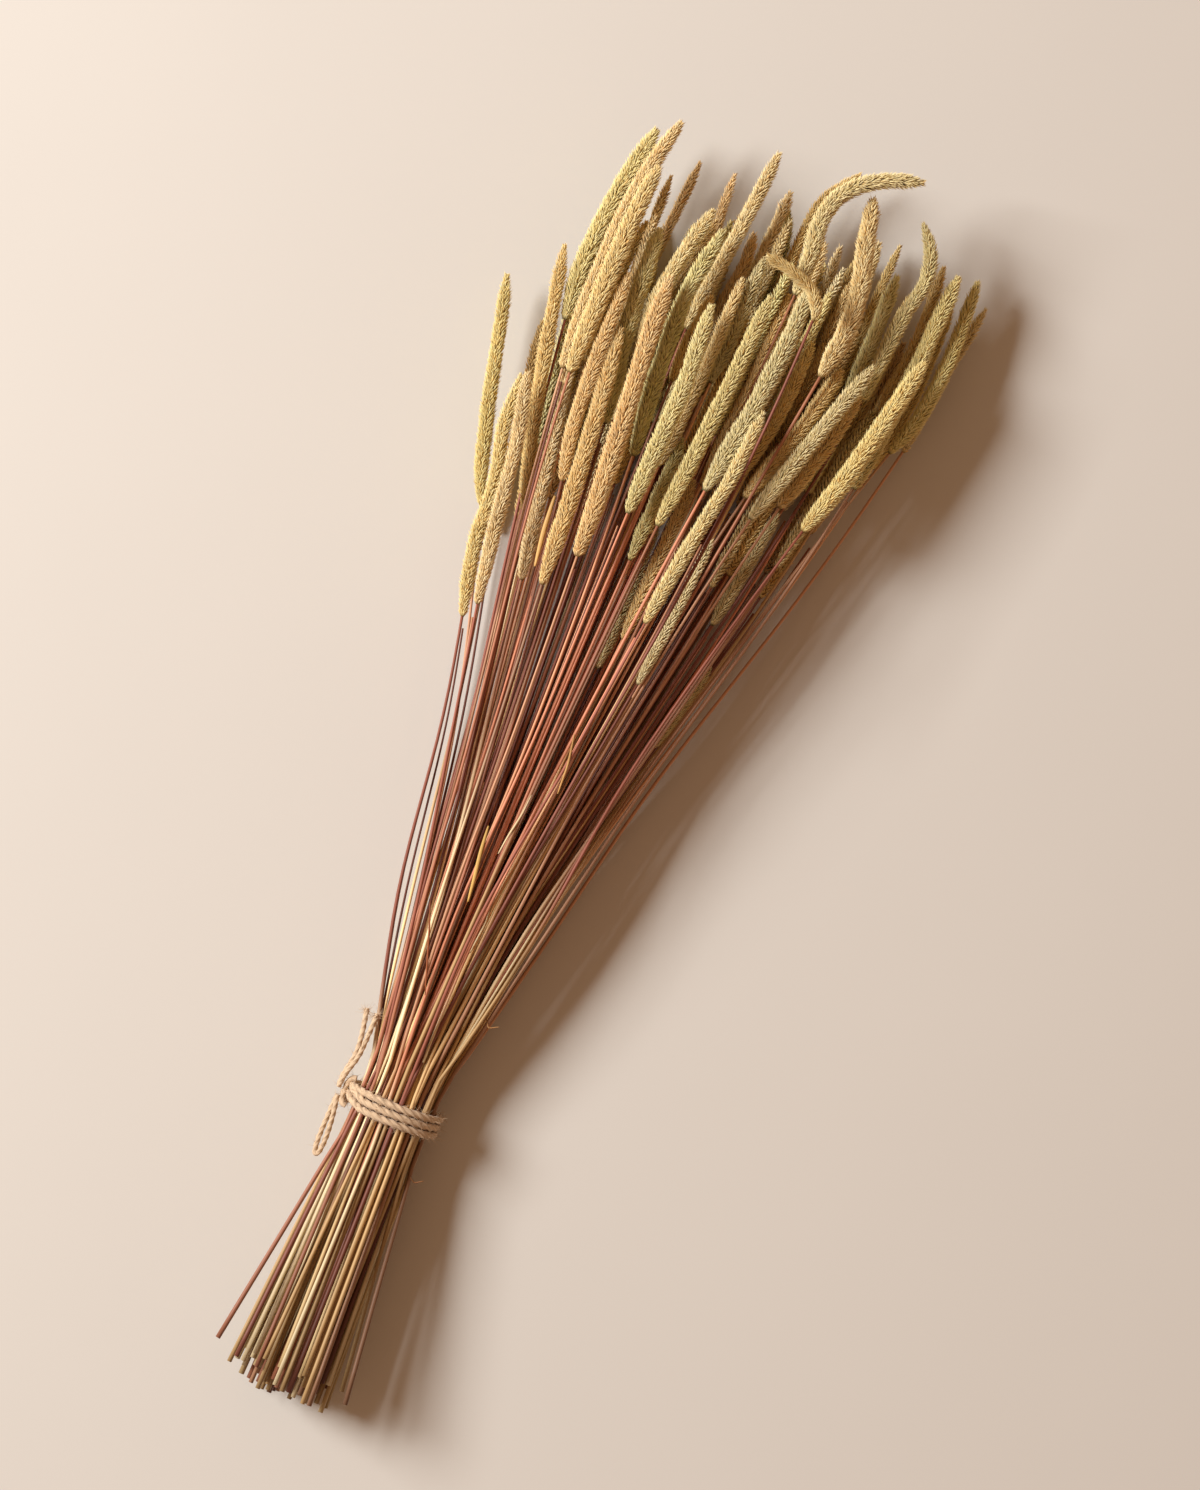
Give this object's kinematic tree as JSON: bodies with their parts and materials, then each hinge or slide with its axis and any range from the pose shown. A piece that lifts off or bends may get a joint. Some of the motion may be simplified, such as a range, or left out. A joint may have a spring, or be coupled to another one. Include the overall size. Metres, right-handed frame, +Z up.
{
  "type": "bundle of dried timothy grass",
  "caption": "Dried timothy grass stalks with long cylindrical seed heads, tied in a fanned bundle with jute twine and lying on its side.",
  "frame": {"origin": "middle of the bundle's outline seen from above, on the surface that it lies on", "axes": "+Y along the bundle from the cut ends to the seed heads, +Z up from the surface, +X across the bundle, to the right when the heads point away"},
  "size_m": [0.1665, 0.4927, 0.0542],
  "materials": {
    "grass_straw": "dry pale straw, rough",
    "grass_tan": "dry tan brown, rough",
    "grass_green": "dry green-grey, rough",
    "twine": "hairy twisted jute"
  },
  "bodies": {
    "root": {"stalk_01": "grass_straw", "stalk_02": "grass_tan", "stalk_03": "grass_green", "stalk_04": "grass_green", "stalk_05": "grass_tan", "stalk_06": "grass_tan", "stalk_07": "grass_straw", "stalk_08": "grass_straw", "stalk_09": "grass_tan", "stalk_10": "grass_green", "stalk_11": "grass_tan", "stalk_12": "grass_straw", "stalk_13": "grass_straw", "stalk_14": "grass_tan", "stalk_15": "grass_straw", "stalk_16": "grass_straw", "stalk_17": "grass_tan", "stalk_18": "grass_tan", "stalk_19": "grass_tan", "stalk_20": "grass_tan", "stalk_21": "grass_tan", "stalk_22": "grass_green", "stalk_23": "grass_tan", "stalk_24": "grass_tan", "stalk_25": "grass_straw", "stalk_26": "grass_green", "stalk_27": "grass_green", "stalk_28": "grass_tan", "stalk_29": "grass_straw", "stalk_30": "grass_green", "stalk_31": "grass_tan", "stalk_32": "grass_tan", "stalk_33": "grass_tan", "stalk_34": "grass_green", "stalk_35": "grass_straw", "stalk_36": "grass_straw", "stalk_37": "grass_straw", "stalk_38": "grass_tan", "stalk_39": "grass_straw", "stalk_40": "grass_tan", "stalk_41": "grass_tan", "stalk_42": "grass_tan", "stalk_43": "grass_tan", "stalk_44": "grass_straw", "stalk_45": "grass_green", "stalk_46": "grass_tan", "stalk_47": "grass_straw", "stalk_48": "grass_green", "stalk_49": "grass_tan", "stalk_50": "grass_tan", "stalk_51": "grass_green", "stalk_52": "grass_straw", "stalk_53": "grass_tan", "stalk_54": "grass_tan", "stalk_55": "grass_tan", "stalk_56": "grass_green", "twine_wrap": "twine", "twine_end_upper": "twine", "twine_end_lower": "twine", "twine_loop": "twine"}
  },
  "joints": []
}
